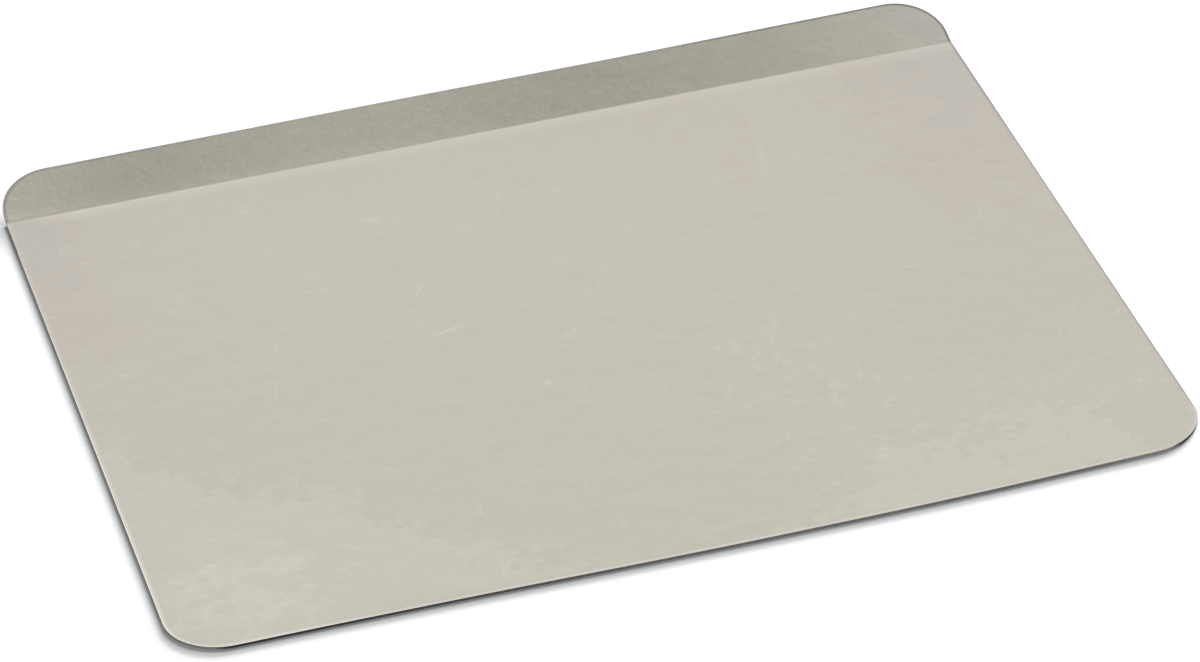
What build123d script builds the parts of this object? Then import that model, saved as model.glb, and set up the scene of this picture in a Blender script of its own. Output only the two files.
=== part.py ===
from build123d import *
from math import cos, radians, sin, tan
import os

# Flat cookie sheet, open on three sides, with one long side pressed up into a shallow lip.
# It is one blank of sheet metal: sheared, its corners rounded, its edges eased, and bent once.
# Millimetres. X runs along the lip, Y from the open front edge to the lip, and Z up.
# The origin is on the underside, below the middle of the overall length and depth.

# Driving dimensions
overall_length = 406.4
overall_depth = 355.6
sheet_thickness = 1.3
front_corner_radius = 23.4
edge_rounding = 0.3

# The front edge is not quite straight. Its middle stands this far in front of its ends.
front_bow = 3.2

# The lip: its width is measured up the slope of its top face, from the crease to the rim
lip_width = 27
lip_angle = 17.5
lip_corner_radius = 21.5
bend_radius = 1.5

# Spare metal in front of the finished edge, which the shears take off
trim_allowance = 5

# The crease is where the planes of the flat and of the lip would meet on the top face.
# The bend begins a little in front of it and ends as far up the lip.
lip_slope = radians(lip_angle)
crease_setback = bend_radius * tan(lip_slope / 2)
lip_straight = lip_width - crease_setback

# The rim's lower edge reaches furthest back. Easing it takes off a little of that reach.
sharp_reach = lip_width * cos(lip_slope) + sheet_thickness * sin(lip_slope)
eased_off = edge_rounding * (cos(lip_slope) + sin(lip_slope)) - edge_rounding
lip_reach = sharp_reach - eased_off

# The bowed edge is an arc through its middle and its two ends
half_length = overall_length / 2
front_edge_radius = (half_length**2 + front_bow**2) / (2 * front_bow)

# Places along Y
front_y = -overall_depth / 2
blank_front_y = front_y - trim_allowance
crease_y = overall_depth / 2 - lip_reach
bend_start_y = crease_y - crease_setback

# Square to the metal of the lip
lip_normal = Axis((0, 0, 0), (0, -sin(lip_slope), cos(lip_slope)))


with BuildPart() as cookie_sheet:
    # The side view of flat, bend and lip, drawn out along the whole length.
    # Both arcs turn about one centre, so the metal keeps its thickness round the bend.
    with BuildSketch(Plane.YZ.offset(-half_length)):
        with BuildLine():
            top_flat = Line((blank_front_y, sheet_thickness), (bend_start_y, sheet_thickness))
            top_bend = JernArc(top_flat @ 1, top_flat % 1, bend_radius, lip_angle)
            top_lip = Line(top_bend @ 1, top_bend @ 1 + (top_bend % 1) * lip_straight)
            under_flat = Line((blank_front_y, 0), (bend_start_y, 0))
            under_bend = JernArc(under_flat @ 1, under_flat % 1, bend_radius + sheet_thickness, lip_angle)
            under_lip = Line(under_bend @ 1, under_bend @ 1 + (under_bend % 1) * lip_straight)
            Line(top_flat @ 0, under_flat @ 0)
            Line(top_lip @ 1, under_lip @ 1)
        make_face()
    extrude(amount=overall_length)

    # The front edge is sheared along its arc. All the metal to keep lies inside the arc's circle,
    # which is drawn out up and down far enough to hold the lip as well.
    with BuildSketch():
        with Locations((0, front_y + front_edge_radius)):
            Circle(front_edge_radius)
    extrude(amount=lip_width, both=True, mode=Mode.INTERSECT)

    # The corners were rounded while the blank was flat, so each lies in the plane of its own metal.
    # A corner of the lip takes at most the straight metal above the bend.
    front_corners = cookie_sheet.edges().filter_by(Axis.Z)
    fillet(front_corners, radius=front_corner_radius)
    lip_corners = cookie_sheet.edges().filter_by(lip_normal)
    fillet(lip_corners, radius=min(lip_corner_radius, lip_straight - edge_rounding))

    # The sheared edge is eased all round, above and below, in one run across the bend.
    # Of the straight lines along X, all but the pair at the rim are bend lines.
    bend_lines = cookie_sheet.edges().filter_by(Axis.X).sort_by(Axis.Y)[:-2]
    corner_seams = cookie_sheet.edges().filter_by(Axis.Z) + cookie_sheet.edges().filter_by(lip_normal)
    sheared_edges = cookie_sheet.edges() - bend_lines - corner_seams
    fillet(sheared_edges, radius=edge_rounding)


os.makedirs("parts", exist_ok=True)
cookie_sheet.part.label = "cookie_sheet"
export_step(cookie_sheet.part, "parts/cookie_sheet.step")
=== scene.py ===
from math import cos, pi, radians, sin, tan

import bmesh
import bpy
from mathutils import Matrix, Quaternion, Vector


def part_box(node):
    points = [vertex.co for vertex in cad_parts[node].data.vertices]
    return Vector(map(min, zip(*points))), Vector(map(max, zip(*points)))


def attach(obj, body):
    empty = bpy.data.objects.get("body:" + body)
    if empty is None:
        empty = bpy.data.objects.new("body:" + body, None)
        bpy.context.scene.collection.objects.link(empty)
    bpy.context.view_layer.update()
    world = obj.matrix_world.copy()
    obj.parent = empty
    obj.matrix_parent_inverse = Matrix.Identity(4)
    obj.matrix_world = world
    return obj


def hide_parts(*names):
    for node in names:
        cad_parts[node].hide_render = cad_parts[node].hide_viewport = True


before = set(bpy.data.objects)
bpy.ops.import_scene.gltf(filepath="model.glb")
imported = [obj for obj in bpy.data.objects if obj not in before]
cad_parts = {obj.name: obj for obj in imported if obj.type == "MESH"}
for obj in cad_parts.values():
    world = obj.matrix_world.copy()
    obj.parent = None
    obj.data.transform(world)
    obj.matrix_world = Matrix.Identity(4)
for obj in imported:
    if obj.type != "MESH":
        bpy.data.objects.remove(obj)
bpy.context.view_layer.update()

mm = 0.001

# The sheet, as it was formed. Its length and depth come from the frame, less a hair all round.
hair = 0.01 * mm
sheet_low, sheet_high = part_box("cookie_sheet")
overall_length = sheet_high.x - sheet_low.x - 2 * hair
sheet_thickness = 1.3 * mm
front_corner_radius = 23.4 * mm
edge_rounding = 0.3 * mm
lip_width = 27 * mm
lip_slope = radians(17.5)
lip_corner_radius = 21.5 * mm
bend_radius = 1.5 * mm

# The front edge was sheared a little unevenly. It stands furthest forward here, right of the
# middle, and falls back from there towards each end. It is a little fuller than that curve just
# left of the middle and at the right corner. A swell has its middle, its reach and its height.
foremost_x = 60 * mm
fall_left = 2.85 * mm
fall_right = 4.9 * mm
middle_swell = (-5 * mm, 70 * mm, 0.25 * mm)
corner_swell = (190 * mm, 40 * mm, 0.65 * mm)

# The bend was pressed a little too far in front and askew. Against its middle, its right end
# lies nearer the front by the skew and its left end as much further back.
crease_ahead = 0.3 * mm
crease_skew = 1.3 * mm

# The rim was trimmed a little too low, right of its middle.
rim_swell = (65 * mm, 110 * mm, 0.5 * mm)

# The crease is where the top planes of the flat and of the lip meet. From there the lip's top
# face runs back and rises, and its reach adds the thickness at the rim, less what easing takes off.
lip_run = lip_width * cos(lip_slope)
lip_rise = lip_width * sin(lip_slope)
lip_reach = lip_run + sheet_thickness * sin(lip_slope)
lip_reach -= edge_rounding * (cos(lip_slope) + sin(lip_slope) - 1)
front_y = sheet_low.y + hair
crease_y = sheet_high.y - hair - lip_reach
flat_depth = crease_y - front_y
half_length = overall_length / 2

# The front edge's line is a cubic curve through its two ends, level at its foremost place.
left_run = -half_length - foremost_x
right_run = half_length - foremost_x
front_skew = (fall_right / right_run**2 - fall_left / left_run**2) / (right_run - left_run)
front_curve = fall_right / right_run**2 - front_skew * right_run

# How finely the sheet is divided, so that its uneven edge runs smoothly
cell_size = 14 * mm
corner_segments = 20
bend_segments = 6
edge_segments = 3

# Points nearer than this are one, and an edge that turns more sharply than this is eased.
merge_distance = edge_rounding / 30
sharp_turn = radians(50)


# The shape of the sheet

def select_nothing():
    """Leaves object mode with nothing selected."""
    if bpy.context.mode != "OBJECT":
        bpy.ops.object.mode_set(mode="OBJECT")
    bpy.ops.object.select_all(action="DESELECT")


def choose(piece, kind, wanted):
    """In edit mode, selects only the vertices or the edges for which wanted is true."""
    bpy.ops.mesh.select_mode(type=kind)
    bpy.ops.mesh.select_all(action="DESELECT")
    mesh = bmesh.from_edit_mesh(piece.data)
    elements = {"VERT": mesh.verts, "EDGE": mesh.edges}[kind]
    for element in elements:
        if wanted(element):
            element.select_set(True)
    mesh.select_flush_mode()
    bmesh.update_edit_mesh(piece.data)


def lies_at(vertex, y):
    """True for a vertex at this place in Y."""
    return abs(vertex.co.y - y) < edge_rounding


def choose_crease(piece):
    """Selects the edges that lie on the crease."""
    choose(piece, "EDGE", lambda edge: all(lies_at(vertex, crease_y) for vertex in edge.verts))


def round_corners(piece, y, radius):
    """Rounds the two corners of the blank at this place in Y, in the plane of their own metal."""
    choose(piece, "VERT", lambda vertex: lies_at(vertex, y) and abs(vertex.co.x) > half_length - radius)
    bpy.ops.mesh.bevel(offset=radius, segments=corner_segments, profile=0.5, affect="VERTICES")


def cut_across(point, normal):
    """Divides the whole surface that is being edited along a plane."""
    bpy.ops.mesh.select_mode(type="FACE")
    bpy.ops.mesh.select_all(action="SELECT")
    bpy.ops.mesh.bisect(plane_co=point, plane_no=normal)


def apply_modifier(piece, kind, **settings):
    """Adds one modifier with its settings and applies it."""
    modifier = piece.modifiers.new(kind.lower(), kind)
    for name, value in settings.items():
        setattr(modifier, name, value)
    bpy.ops.object.modifier_apply(modifier=modifier.name)


def swell(x, middle, reach, height):
    """A rounded hump of this height, which ends its reach away from its middle."""
    return height * max(0, 1 - ((x - middle) / reach) ** 2) ** 2


def front_fall(x):
    """How far the front edge lies behind its foremost place."""
    run = x - foremost_x
    fall = front_curve * run**2 + front_skew * run**3
    return max(0, fall - swell(x, *middle_swell) - swell(x, *corner_swell))


def crease_shift(x):
    """How far in front of its even line the crease lies."""
    return crease_ahead + crease_skew * x / half_length


def lay_flat(materials):
    """The flat as one rectangle, in the plane of the sheet's top face."""
    select_nothing()
    middle = (0, (front_y + crease_y) / 2, sheet_thickness)
    bpy.ops.mesh.primitive_plane_add(size=1, location=middle)
    sheet = bpy.context.object
    sheet.name = "satin_sheet"
    for material in materials:
        sheet.data.materials.append(material)
    sheet.scale = (overall_length, flat_depth, 1)
    bpy.ops.object.transform_apply(location=True, rotation=True, scale=True)
    return sheet


def draw_up_lip(sheet):
    """Draws the lip out of the flat's back edge, rounds all four corners and bends the crease round."""
    choose_crease(sheet)
    bpy.ops.mesh.extrude_region_move(TRANSFORM_OT_translate={"value": (0, lip_run, lip_rise)})
    round_corners(sheet, front_y, front_corner_radius)
    round_corners(sheet, crease_y + lip_run, lip_corner_radius)
    choose_crease(sheet)
    setback = bend_radius * tan(lip_slope / 2)
    bpy.ops.mesh.bevel(offset=setback, segments=bend_segments, profile=0.5, affect="EDGES")


def divide():
    """Cuts the surface into columns and the flat into rows.

    What the cuts doubled is merged, and all faces are turned the same way.
    """
    columns = round(overall_length / cell_size)
    for step in range(1, columns):
        cut_across((-half_length + step * overall_length / columns, 0, 0), (1, 0, 0))
    rows = round(flat_depth / cell_size)
    for step in range(1, rows):
        cut_across((0, front_y + step * flat_depth / rows, 0), (0, 1, 0))
    bpy.ops.mesh.select_all(action="SELECT")
    bpy.ops.mesh.remove_doubles(threshold=merge_distance)
    bpy.ops.mesh.normals_make_consistent(inside=False)


def press_unevenly(sheet):
    """Gives the front edge, the crease and the rim their small unevenness.

    The front draws the flat with it, less and less towards the crease, the shift of the crease
    fades towards the front and the rim, and the dip of the rim fades towards the crease.
    """
    for vertex in sheet.data.vertices:
        place = vertex.co
        towards_front = max(0, (crease_y - place.y) / flat_depth)
        towards_rim = max(0, (place.y - crease_y) / lip_run)
        shift = (1 - towards_front - towards_rim) * crease_shift(place.x)
        dip = towards_rim * swell(place.x, *rim_swell)
        place.y += towards_front * front_fall(place.x) - shift - dip * cos(lip_slope)
        place.z -= dip * sin(lip_slope)


def form_sheet(materials):
    """The sheet as a surface, bent, rounded and trimmed, then given its thickness and eased edge.

    The materials are those of the faces, of the cut side and of its rounding, in this order.
    """
    sheet = lay_flat(materials)
    bpy.ops.object.mode_set(mode="EDIT")
    draw_up_lip(sheet)
    divide()
    bpy.ops.object.mode_set(mode="OBJECT")
    if sheet.data.polygons[0].normal.z < 0:
        sheet.data.flip_normals()
    press_unevenly(sheet)

    # Their places among the sheet's materials
    cut_side = 1
    rounding = 2
    apply_modifier(sheet, "SOLIDIFY", thickness=sheet_thickness, offset=-1, use_even_offset=True,
                   material_offset_rim=cut_side)
    apply_modifier(sheet, "BEVEL", width=edge_rounding, segments=edge_segments, limit_method="ANGLE",
                   angle_limit=sharp_turn, material=rounding)
    bpy.ops.object.shade_smooth()
    apply_modifier(sheet, "WEIGHTED_NORMAL", weight=100)
    return sheet


# The finish of the sheet, as node trees

class Signal:
    """A value in a node tree that takes part in arithmetic, so that a mask reads as a formula."""

    def __init__(self, finish, socket):
        self.finish = finish
        self.socket = socket

    def maths(self, operation, *others):
        """One Math node on this value and the others."""
        sockets = {index: value for index, value in enumerate((self, *others))}
        return self.finish.node("ShaderNodeMath", {"operation": operation}, sockets)

    def __add__(self, other):
        return self.maths("ADD", other)

    def __sub__(self, other):
        return self.maths("SUBTRACT", other)

    def __rsub__(self, other):
        return self.maths("MULTIPLY", -1).maths("ADD", other)

    def __mul__(self, other):
        return self.maths("MULTIPLY", other)

    def __truediv__(self, other):
        return self.maths("DIVIDE", other)

    def __pow__(self, other):
        return self.maths("POWER", other)

    def __abs__(self):
        return self.maths("ABSOLUTE")

    __radd__ = __add__
    __rmul__ = __mul__

    def at_least(self, other):
        """The larger of the two."""
        return self.maths("MAXIMUM", other)

    def at_most(self, other):
        """The smaller of the two."""
        return self.maths("MINIMUM", other)

    def ramp(self, low, high):
        """0 at low, 1 at high and a smooth step between. Low may be the larger."""
        settings = {"interpolation_type": "SMOOTHSTEP"}
        sockets = {"Value": self, "From Min": low, "From Max": high}
        return self.finish.node("ShaderNodeMapRange", settings, sockets)


class Finish:
    """One node tree, whose nodes all come from node()."""

    def __init__(self, owner):
        owner.use_nodes = True
        self.tree = owner.node_tree
        self.tree.nodes.clear()

    def node(self, kind, settings=None, sockets=None, output=0):
        """Adds a node, sets its settings and then its sockets, and returns one output as a Signal."""
        made = self.tree.nodes.new(kind)
        for name, value in (settings or {}).items():
            setattr(made, name, value)
        for name, value in (sockets or {}).items():
            socket = made.inputs[name]
            if isinstance(value, Signal):
                self.tree.links.new(value.socket, socket)
            elif isinstance(value, tuple):
                socket.default_value = value[:len(socket.default_value)]
            else:
                socket.default_value = value
        return Signal(self, made.outputs[output]) if made.outputs else made

    def axis(self, vector, name):
        """One of a vector's three parts, X, Y or Z."""
        return self.node("ShaderNodeSeparateXYZ", {}, {0: vector}, output=name)

    def scaled(self, vector, value):
        """A vector, or a colour, made larger or smaller by a value."""
        return self.node("ShaderNodeVectorMath", {"operation": "SCALE"}, {0: vector, "Scale": value})

    def blend(self, amount, first, second):
        """The first colour, turning into the second as amount goes from 0 to 1."""
        sockets = {"Factor": amount, 6: first, 7: second}
        return self.node("ShaderNodeMix", {"data_type": "RGBA"}, sockets, output=2)


class SheetFinish(Finish):
    """The node tree of one of the sheet's materials.

    Places and sizes are in millimetres: x, y and z as in the frame, and past_crease along Y, back
    from the crease.
    """

    def __init__(self, owner):
        super().__init__(owner)
        self.place = self.scaled(self.node("ShaderNodeTexCoord", output="Object"), 1 / mm)
        self.x = self.axis(self.place, "X")
        self.y = self.axis(self.place, "Y")
        self.z = self.axis(self.place, "Z")
        self.past_crease = self.y - (crease_y - crease_ahead) / mm + crease_skew / half_length * self.x

    def up_the_metal(self, past):
        """A way along Y past the crease, measured on the metal: longer up the lip, where it slopes."""
        return past.at_least(0) / cos(lip_slope) + past.at_most(0)

    def swell(self, middle, reach, height):
        """The same hump that the sheet's outline has."""
        share = (self.x - middle / mm) * (mm / reach)
        return (1 - share * share).at_least(0) ** 2 * (height / mm)

    def inset(self):
        """The way in from the nearest edge of the sheet, also round the corners.

        It is measured with the lip laid out flat, and one mean radius serves all four corners.
        """
        radius = (front_corner_radius + lip_corner_radius) / 2 / mm
        half_height = (flat_depth + lip_width) / 2 / mm
        middle = (lip_width - flat_depth) / 2 / mm
        run = self.x - foremost_x / mm
        fall = run * run * (front_curve * mm + front_skew * mm**2 * run)
        fall = (fall - self.swell(*middle_swell) - self.swell(*corner_swell)).at_least(0)
        up = self.up_the_metal(self.y - crease_y / mm)
        level = up + fall * (up * (mm / flat_depth)).at_most(0)
        level = level + self.swell(*rim_swell) * (up * (mm / lip_width)).at_least(0)
        beside = abs(self.x) - (half_length / mm - radius)
        beyond = abs(level - middle) - (half_height - radius)
        round_corner = (beside.at_least(0) ** 2 + beyond.at_least(0) ** 2) ** 0.5
        return radius - round_corner - beside.at_least(beyond).at_most(0)

    def depth(self):
        """The way down into the metal from the top face, on the flat or on the lip."""
        from_top = sheet_thickness / mm - self.z
        return from_top.at_least(from_top * cos(lip_slope) + self.past_crease * sin(lip_slope))

    def beside_crease(self):
        """The stretch of the left edge beside the crease, where painted shade blackens the edge."""
        return self.x.ramp(-185, -200) * self.past_crease.ramp(-36, -20) * self.past_crease.ramp(10, 4)

    def cut_shade(self):
        """Painted shade of the cut metal, as how much light is left to it: least at the left and round the
        front right corner.
        """
        along = 0.22 + 0.8 * self.x.ramp(-190, 60) + 0.35 * self.x.ramp(150, 180)
        front_left = self.past_crease.ramp(-298, -320)
        left_lip = self.past_crease.ramp(4, 8)
        left_side = (0.4 + 0.6 * front_left + 0.4 * left_lip) * self.x.ramp(-182, -190)
        front_right = self.x.ramp(185, 191) * self.past_crease.ramp(-250, -290)
        return (along + left_side) * (1 - 0.9 * front_right) * (1 - 0.7 * self.beside_crease())

    def grain(self, size, seed, stretch=(1, 1, 1), turn=0, detail=2):
        """Noise from 0 to 1 with spots about this size, drawn out by stretch and turned in plan.

        Each seed takes it from a far-off place, so that no two grains are alike.
        """
        sockets = {"Vector": self.place, "Location": (0, 0, 1000 * seed), "Rotation": (0, 0, turn),
                   "Scale": tuple(size * share for share in stretch)}
        spots = self.node("ShaderNodeMapping", {"vector_type": "TEXTURE"}, sockets)
        return self.node("ShaderNodeTexNoise", {}, {"Vector": spots, "Scale": 1, "Detail": detail})

    def waves(self, length, crest):
        """Slow waves along X, 1 at a crest and -1 half a wave away."""
        return ((self.x - crest) * (2 * pi / length)).maths("COSINE")

    def hairlines(self, length, gap, width, turn, seed):
        """Fine scratches, 1 in their middle, long and nearly straight, which come and go."""
        bends = self.grain(gap, stretch=(length / gap, 1, 20), turn=turn, detail=0, seed=seed)
        line = abs(bends - 0.5).ramp(width / gap * 0.5, 0)
        return line * self.grain(length / 3, detail=1, seed=seed + 1).ramp(0.5, 0.62)

    def metal(self, colour, roughness, height):
        """Bare metal, as the tree's result. Its surface stands proud by the height."""
        relief = self.node("ShaderNodeBump", {}, {"Height": height, "Distance": mm})
        shader = self.node("ShaderNodeBsdfPrincipled", {}, {
            "Base Color": colour, "Metallic": 1, "Roughness": roughness, "Normal": relief})
        self.node("ShaderNodeOutputMaterial", {}, {"Surface": shader})


class SatinFinish(SheetFinish):
    """The node tree of the two satin faces, with the metal's own texture at hand.

    More places, also in millimetres: up, from the crease on the metal, from_front, along Y from
    the foremost edge, and from_edge, the way in from the nearest edge.
    """

    def __init__(self, owner):
        super().__init__(owner)
        self.up = self.up_the_metal(self.past_crease)
        self.from_front = self.y - front_y / mm
        self.from_edge = self.inset()
        self.on_lip = self.up.ramp(-0.5, 0.5)
        self.on_flat = self.up.ramp(0, -1.2)

        # From the finest grain to slow changes, and the mill's rolling lines
        self.pores = self.grain(0.5, detail=3, seed=1)
        self.fine = self.grain(1.6, seed=2)
        self.flecks = self.grain(4, seed=3)
        self.mottle = self.grain(11, seed=4)
        self.blotches = self.grain(16, detail=3, seed=6)
        self.clouds = self.grain(38, detail=3, seed=5)
        self.rolling = self.grain(0.7, stretch=(60, 1, 8), detail=3, seed=7)

    def scratches(self):
        """Fine scratches that run three ways."""
        hairs = []
        for index, turn in enumerate((12, -31, 74)):
            seed = 10 + 2 * index
            hairs.append(self.hairlines(length=70, gap=6, width=0.08, turn=radians(turn), seed=seed))
        return hairs[0].at_least(hairs[1]).at_least(hairs[2])

    def painted_edge_sheen(self):
        """Painted highlight along the left and front edges, which are also made a little smoother."""
        left_side = self.x.ramp(-100, -190)
        near_front = (1 - left_side) * self.from_front.ramp(40, 10)
        along_left = left_side * (1.25 - 0.75 * self.from_front.ramp(20, 250))
        return along_left * self.from_edge.ramp(2.2, 0.6) + near_front * self.from_edge.ramp(1.6, 0.5)

    def greener_patches(self):
        """Greener and a little brighter in ragged patches at both front corners, and in small spots right
        of the middle.
        """
        left_reach = (self.x + 20) * -0.87
        right_reach = 48 * self.x.ramp(30, 95) * self.x.ramp(182, 164)
        ragged = 60 * (self.clouds - 0.5) + 70 * (self.mottle - 0.5) + 60 * (self.flecks - 0.5)
        reach = left_reach.at_least(right_reach) - 12 + ragged
        patches = (reach - self.from_front).ramp(-4, 4) * self.from_edge.ramp(1, 4)
        spotted = self.x.ramp(0, 40) * self.x.ramp(120, 90) * self.from_front.ramp(180, 130)
        return patches.at_least(spotted * (self.flecks + self.mottle).ramp(1.16, 1.22))

    def painted_highlight_spot(self):
        """Painted highlight: brightest in one uneven spot at the front left corner."""
        beside_spot = abs((self.x + 172) / 32)
        beyond_spot = abs((self.from_front - 40) / 34)
        ragged = 5 * (self.mottle - 0.5) + 3 * (self.flecks - 0.5) + 3 * (self.clouds - 0.5)
        return (beside_spot ** 2 + beyond_spot ** 2 + ragged).ramp(1.2, -0.4)

    def dulled(self):
        """Duller in blotches at both ends of the flat's back and a little right of its middle.

        The second mask says where the dull metal is greyed as well.
        """
        back_right = self.x.ramp(105, 195) * self.from_front.ramp(150, 240)
        back_left = self.x.ramp(-155, -197) * self.from_front.ramp(170, 260)
        ends = back_right + back_left
        spots = 0.4 * self.x.ramp(45, 80) * self.x.ramp(115, 95) * self.from_front.ramp(190, 250)
        ragged = 1.8 * (self.mottle - 0.5) + 0.8 * (self.flecks - 0.5)
        dull = (ends + spots + ragged).ramp(0.3, 0.7) * self.on_flat
        greyed = (ends * self.from_front.ramp(220, 300) + 3 * (self.blotches - 0.5)).ramp(0.6, 0.9)
        return dull, greyed

    def outline(self):
        """Painted shade: a thin dark line along the rim, the right edge and the lip's left end."""
        right_side = self.x.ramp(120, 195) * self.from_front.ramp(15, 45)
        end_line = 0.5 * right_side.at_least(0.2 * self.on_lip * self.x.ramp(-185, -200))
        rim_line = self.on_lip * (0.12 + 0.4 * self.x.ramp(70, 115) + 0.25 * self.x.ramp(-100, -150))
        side_line = right_side * (0.1 + 0.2 * self.from_front.ramp(240, 290))
        wide_line = rim_line.at_least(side_line)
        return self.from_edge.ramp(0.9, 0.3) * end_line + self.from_edge.ramp(1.7, 0.9) * wide_line

    def lip_end_highlight(self):
        """Painted highlight: paler at the lip's two ends."""
        return self.on_lip * (self.x.ramp(120, 222) + 0.5 * self.x.ramp(-150, -200))

    def glow_on_flat(self):
        """What the flat catches of the lip's light, with a thin broken line at the crease's left end."""
        at_ends = 0.3 * abs(self.x).ramp(120, 190) - 0.8 * self.x.ramp(-184, -196)
        broken = self.x.ramp(-60, -120) * (self.flecks + self.fine).ramp(0.85, 1.05)
        band = self.up.ramp(-10.5, -0.6) * (0.7 + at_ends)
        return (band + 0.3 * self.up.ramp(-3, -1.2) * broken) * self.on_flat

    def glow_on_lip(self):
        """What the lip catches of the flat's light, most at its left and none at its right end."""
        along = self.x.ramp(90, -20) + 0.6 * self.x.ramp(-80, -120)
        return self.up.ramp(9, 0) * along * self.on_lip


# The colours of the metal and its three materials

satin_colour = (0.576, 0.548, 0.485, 1)
greener_patch_colour = (0.583, 0.565, 0.499, 1)
dull_colour = (0.572, 0.53, 0.475, 1)
greyed_colour = (0.553, 0.527, 0.477, 1)
# Painted highlight at the lip's two ends
lip_end_highlight_colour = (0.735, 0.69, 0.635, 1)
# Painted highlight on the top of the edge's rounding
rounding_highlight_colour = (0.725, 0.7, 0.645, 1)
# Painted shade for the thin dark line along the rim, the right edge and the lip's left end
painted_line_colour = (0.22, 0.225, 0.23, 1)
cut_colour = (0.42, 0.4, 0.345, 1)


def satin_metal():
    """The two faces of the sheet: matt, finely grained, with painted highlights along the left and front
    edges, in one spot and at the lip's ends.
    """
    material = bpy.data.materials.new("satin_metal")
    finish = SatinFinish(material)
    scratches = finish.scratches()
    # Painted highlight along the left and front edges
    painted_edge_sheen = finish.painted_edge_sheen()
    greener_patches = finish.greener_patches()
    dull, greyed = finish.dulled()
    flat_glow = finish.glow_on_flat()

    # Brightness: the flat's even texture, then slow waves of brightness along the lip and its coarser
    # grain
    value = 0.935 + 0.02 * (finish.pores + finish.fine + finish.flecks)
    value = value + 0.03 * (finish.mottle + finish.clouds) + 0.012 * finish.rolling + 0.025 * scratches
    lip_waves = 0.035 * finish.waves(length=188, crest=-56) - 0.055 * finish.x.ramp(-30, 50) - 0.01
    coarseness = (1.25 - 0.6 * finish.x.ramp(75, 125)) * finish.on_lip
    lip_grain = 0.16 * (finish.pores - 0.5) + 0.15 * (finish.fine - 0.5) + 0.07 * (finish.flecks - 0.5)
    value = value + finish.on_lip * lip_waves + coarseness * lip_grain

    # Brighter with the painted highlights along the edges and in one spot, in the greener patches and
    # where lit from beside the crease; darker where it is dull and with painted shade beside the crease's
    # left end
    brighter = 0.15 * painted_edge_sheen + 0.13 * flat_glow + 0.05 * finish.glow_on_lip() + 0.07 * finish.painted_highlight_spot()
    faded_ends = abs(finish.x).ramp(100, 170) * finish.from_front.ramp(60, 120) * finish.on_flat
    # Painted shade on the lip beside the crease's left end
    painted_crease_shade = finish.up.ramp(2.5, 0.5) * finish.on_lip * finish.x.ramp(-165, -190)
    changed = 0.022 * greener_patches - 0.004 * dull - 0.012 * faded_ends - 0.06 * painted_crease_shade
    pale_front = finish.x.ramp(20, 70) * finish.from_front.ramp(120, 60)
    value = value * (1 + brighter) * (1 + changed) + 0.009 * pale_front

    # Colour
    greenish = greener_patches.at_least(0.5 * flat_glow).at_least(0.5 * finish.on_lip)
    satin = finish.blend(greenish, satin_colour, greener_patch_colour)
    bare = finish.blend(dull, satin, finish.blend(greyed, dull_colour, greyed_colour))
    # Painted highlight, paler at the lip's two ends
    plain = finish.blend(finish.lip_end_highlight(), bare, lip_end_highlight_colour)
    colour = finish.scaled(finish.blend(finish.outline(), plain, painted_line_colour), value)

    # Gloss and relief
    roughness = 0.39 + 0.05 * finish.clouds + 0.04 * finish.mottle - 0.07 * painted_edge_sheen - 0.1 * scratches
    small = 0.008 * (finish.pores - 0.5) + 0.06 * (finish.fine - 0.5) + 0.18 * (finish.flecks - 0.5)
    height = (0.4 + 0.3 * coarseness) * small + 0.3 * finish.mottle + 0.5 * finish.clouds
    height = height + 0.002 * finish.rolling - 0.004 * scratches
    finish.metal(colour, roughness, height)
    return material


def sheared_metal():
    """The cut side: torn and dark below the top face, then smoother, with the shear's own fine streaks and
    painted shade along its length.
    """
    material = bpy.data.materials.new("sheared_edge")
    finish = SheetFinish(material)
    streaks = finish.grain(0.22, stretch=(1, 1, 9), seed=21)
    ragged = finish.grain(0.9, seed=22)
    half_way_down = 0.5 * sheet_thickness / mm
    smoother = (finish.depth() - 0.25 * (ragged - 0.5) - half_way_down).ramp(-0.1, 0.1)
    # Painted shade along the cut side's length
    value = finish.cut_shade() * (0.45 + 0.95 * smoother) * (0.75 + 0.5 * streaks)
    height = 0.03 * streaks * (1 - 0.6 * smoother) + 0.02 * ragged
    finish.metal(finish.scaled(cut_colour, value), 0.55 - 0.12 * smoother, height)
    return material


def eased_metal():
    """The small rounding of the edge: a painted highlight on top, as dark as the cut side lower down."""
    material = bpy.data.materials.new("eased_edge")
    finish = SheetFinish(material)
    rub = finish.grain(5, detail=3, seed=31)
    nicks = finish.grain(0.8, seed=32).ramp(0.66, 0.74)
    depth = finish.depth() + 0.05 * (rub - 0.5)
    below = depth.ramp(0.55 * edge_rounding / mm, 0.95 * edge_rounding / mm)

    # Painted shade: it darkens towards the back, at the right side, at the lip's left end and beside the
    # crease.
    back = finish.past_crease.ramp(-150, -20)
    left_end = finish.x.ramp(-185, -200) * finish.past_crease.ramp(-3, 3)
    behind_front = finish.past_crease.ramp(-309, -285)
    right_end = finish.x.ramp(60, 195) * (0.25 + 0.45 * behind_front)
    dull = (0.3 * back + right_end.at_least(0.1 * left_end)).at_least(0.6 * finish.beside_crease())

    # Painted shade: the rounding's lower part takes the cut side's shaded colour
    dark = finish.scaled(cut_colour, 0.45 * finish.cut_shade())
    colour = finish.blend(below.at_least(dull), rounding_highlight_colour, dark)
    # Painted highlight, brighter towards the left
    value = 0.92 + 0.12 * rub + 0.2 * finish.x.ramp(-40, -190) - 0.2 * nicks
    height = 0.01 * rub - 0.02 * nicks
    finish.metal(finish.scaled(colour, value), 0.27 + 0.12 * rub + 0.1 * nicks, height)
    return material


# The table, the light and the camera

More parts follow.
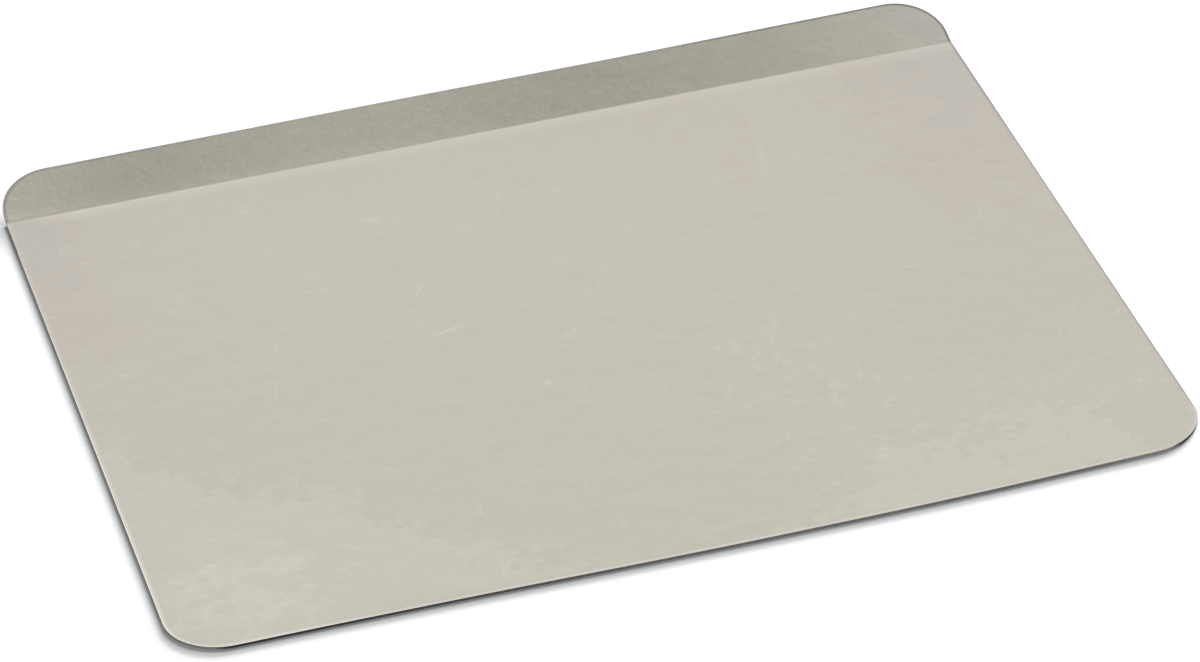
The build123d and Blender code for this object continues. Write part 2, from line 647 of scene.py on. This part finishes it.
def lay_floor():
    """The white table."""
    floor_size = 30
    white_paint = (0.9, 0.9, 0.9, 1)
    select_nothing()
    bpy.ops.mesh.primitive_plane_add(size=floor_size, location=(0, 0, 0))
    floor = bpy.context.object
    floor.name = "table"
    material = bpy.data.materials.new("white_table")
    finish = Finish(material)
    paint = finish.node("ShaderNodeBsdfDiffuse", {}, {"Color": white_paint})
    finish.node("ShaderNodeOutputMaterial", {}, {"Surface": paint})
    floor.data.materials.append(material)


def light_world():
    """A pale surround for the metal, dimmer overhead but not in front, and a cool fill for the table."""
    pale_low = (1.13, 1.13, 1.13, 1)
    dim_overhead = (0.485, 0.496, 0.466, 1)
    cool_fill = (0.246, 0.254, 0.262, 1)
    world = bpy.data.worlds.new("studio")
    bpy.context.scene.world = world
    world.cycles.sampling_method = "NONE"
    finish = Finish(world)
    direction = finish.node("ShaderNodeTexCoord", output="Generated")
    overhead = finish.axis(direction, "Z").ramp(0.62, 0.9)
    behind = finish.axis(direction, "Y").ramp(-0.5, 0)
    surround = finish.blend(overhead * behind, pale_low, dim_overhead)

    # What is seen directly or mirrored is the surround, and the fill lights all that is matt.
    names = ("Is Camera Ray", "Is Glossy Ray", "Is Transmission Ray")
    rays = [finish.node("ShaderNodeLightPath", output=name) for name in names]
    seen = rays[0].at_least(rays[1]).at_least(rays[2])
    colour = finish.blend(seen, cool_fill, surround)
    glow = finish.node("ShaderNodeBackground", {}, {"Color": colour, "Strength": 1})
    finish.node("ShaderNodeOutputWorld", {}, {"Surface": glow})


def towards(azimuth, elevation):
    """The direction at these angles in degrees. The azimuth is turned from +Y to +X."""
    turn = radians(azimuth)
    rise = radians(elevation)
    return Vector((sin(turn) * cos(rise), cos(turn) * cos(rise), sin(rise)))


def add_lamp(name, azimuth, elevation, width, height, energy):
    """A soft panel a long way off. It lights the table and the metal doesn't mirror it."""
    distance = 12
    outward = towards(azimuth, elevation)
    lamp = bpy.data.lights.new(name, "AREA")
    lamp.shape = "ELLIPSE"
    lamp.size = width
    lamp.size_y = height
    lamp.energy = energy
    holder = bpy.data.objects.new(name, lamp)
    holder.location = outward * distance
    holder.rotation_euler = outward.to_track_quat("Z", "Y").to_euler()
    holder.visible_glossy = False
    holder.visible_camera = False
    bpy.context.scene.collection.objects.link(holder)


def place_camera():
    """The photograph's view: from the front left, a third of the way up, with a long lens."""
    image_width = 1200
    focal_pixels = 6512.1
    azimuth = 193.079
    elevation = 32.289
    roll = radians(-4.422)
    distance = 2571.5 * mm
    aim = Vector((3.47 * mm, crease_y - 167.23 * mm, sheet_thickness))
    back = towards(azimuth, elevation)
    camera = bpy.data.cameras.new("camera")
    camera.lens = camera.sensor_width * focal_pixels / image_width
    camera.clip_end = 100
    holder = bpy.data.objects.new("camera", camera)
    holder.rotation_mode = "QUATERNION"
    holder.rotation_quaternion = back.to_track_quat("Z", "Y") @ Quaternion((0, 0, 1), roll)
    holder.location = aim + back * distance
    bpy.context.scene.collection.objects.link(holder)
    bpy.context.scene.camera = holder


# The sheet in place of the frame's own, and all that stands round it

sheet = form_sheet((satin_metal(), sheared_metal(), eased_metal()))
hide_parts("cookie_sheet")
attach(sheet, "root")

lay_floor()
light_world()
add_lamp("low_panel", azimuth=31, elevation=11.7, width=7, height=1.6, energy=3350)
add_lamp("tall_panel", azimuth=35.5, elevation=25, width=7, height=6, energy=1750)
place_camera()
bpy.context.scene.view_settings.view_transform = "Standard"
